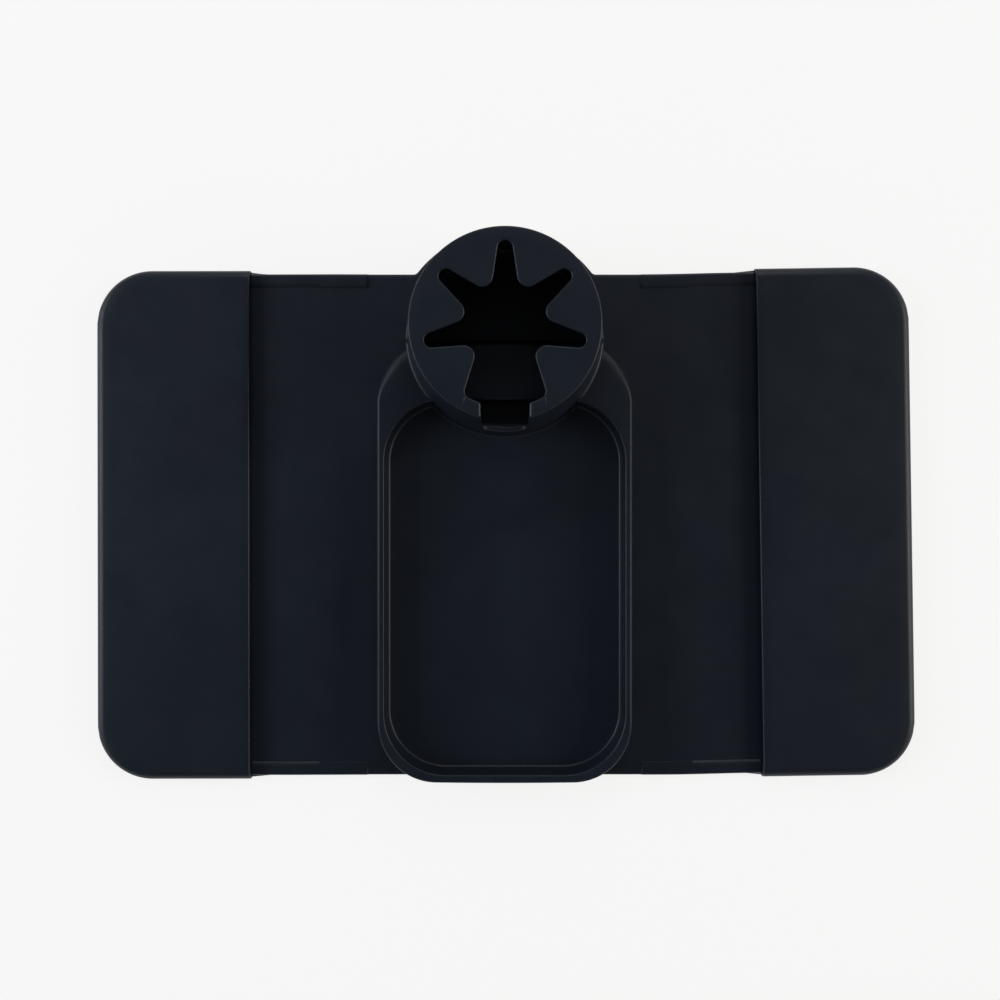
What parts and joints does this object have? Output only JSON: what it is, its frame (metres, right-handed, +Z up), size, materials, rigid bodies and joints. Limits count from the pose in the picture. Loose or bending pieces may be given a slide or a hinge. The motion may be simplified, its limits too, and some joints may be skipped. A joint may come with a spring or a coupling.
{
  "type": "sofa arm tray",
  "caption": "Soft silicone mat for a sofa arm: shallow tray, cup holder with a slotted grip ring and handle slot, and folding side flaps that end in weighted pockets.",
  "frame": {"origin": "centre of the mat's underside, midway between its ends and between its front and back edges", "axes": "+X to the right along the mat's width, +Y towards the cup holder, +Z up out of the tray"},
  "size_m": [0.42, 0.2838, 0.07],
  "materials": {
    "mat_silicone": "matte",
    "grip_silicone": "matte",
    "strip_steel": "satin"
  },
  "bodies": {
    "tray_base": {"base_panel": "mat_silicone", "tray_basin": "mat_silicone", "cup_well": "mat_silicone"},
    "left_flap": {"left_flap_web": "mat_silicone"},
    "right_flap": {"right_flap_web": "mat_silicone"},
    "left_pocket": {"left_pocket_back": "mat_silicone", "left_pocket_hem": "mat_silicone", "left_pocket_front": "mat_silicone", "left_weight_strip": "strip_steel"},
    "right_pocket": {"right_pocket_back": "mat_silicone", "right_pocket_hem": "mat_silicone", "right_pocket_front": "mat_silicone", "right_weight_strip": "strip_steel"},
    "grip_ring": {"grip_ring": "grip_silicone"},
    "tab_back_left": {"grip_tab_back_left": "grip_silicone"},
    "tab_back_right": {"grip_tab_back_right": "grip_silicone"},
    "tab_left": {"grip_tab_left": "grip_silicone"},
    "tab_right": {"grip_tab_right": "grip_silicone"},
    "tab_front_left": {"grip_tab_front_left": "grip_silicone"},
    "tab_front_right": {"grip_tab_front_right": "grip_silicone"}
  },
  "joints": [
    {"name": "left_flap_fold", "type": "hinge", "parent": "tray_base", "child": "left_flap", "pos_m": [-0.068, 0, 0.00125], "axis": [0, 1, 0], "range_deg": [-95, 90]},
    {"name": "left_pocket_fold", "type": "hinge", "parent": "left_flap", "child": "left_pocket", "pos_m": [-0.122, 0, 0.00125], "axis": [0, 1, 0], "range_deg": [-30, 30]},
    {"name": "right_flap_fold", "type": "hinge", "parent": "tray_base", "child": "right_flap", "pos_m": [0.068, 0, 0.00125], "axis": [0, -1, 0], "range_deg": [-95, 90]},
    {"name": "right_pocket_fold", "type": "hinge", "parent": "right_flap", "child": "right_pocket", "pos_m": [0.122, 0, 0.00125], "axis": [0, -1, 0], "range_deg": [-30, 30]},
    {"name": "grip_ring_lift", "type": "slide", "parent": "tray_base", "child": "grip_ring", "axis": [0, 0, 1], "range_m": [0, 0.08]},
    {"name": "tab_back_left_bend", "type": "hinge", "parent": "grip_ring", "child": "tab_back_left", "pos_m": [-0.01388, 0.12462, 0.0688], "axis": [0.901, 0.4339, 0], "range_deg": [-15, 60], "stiffness_Nm_per_rad": 0.02},
    {"name": "tab_back_right_bend", "type": "hinge", "parent": "grip_ring", "child": "tab_back_right", "pos_m": [0.01388, 0.12462, 0.0688], "axis": [0.901, -0.4339, 0], "range_deg": [-15, 60], "stiffness_Nm_per_rad": 0.02},
    {"name": "tab_left_bend", "type": "hinge", "parent": "grip_ring", "child": "tab_left", "pos_m": [-0.03118, 0.10292, 0.0688], "axis": [0.2225, 0.9749, 0], "range_deg": [-15, 60], "stiffness_Nm_per_rad": 0.02},
    {"name": "tab_right_bend", "type": "hinge", "parent": "grip_ring", "child": "tab_right", "pos_m": [0.03118, 0.10292, 0.0688], "axis": [0.2225, -0.9749, 0], "range_deg": [-15, 60], "stiffness_Nm_per_rad": 0.02},
    {"name": "tab_front_left_bend", "type": "hinge", "parent": "grip_ring", "child": "tab_front_left", "pos_m": [-0.02501, 0.07586, 0.0688], "axis": [-0.6235, 0.7818, 0], "range_deg": [-15, 60], "stiffness_Nm_per_rad": 0.02},
    {"name": "tab_front_right_bend", "type": "hinge", "parent": "grip_ring", "child": "tab_front_right", "pos_m": [0.02501, 0.07586, 0.0688], "axis": [-0.6235, -0.7818, 0], "range_deg": [-15, 60], "stiffness_Nm_per_rad": 0.02}
  ]
}
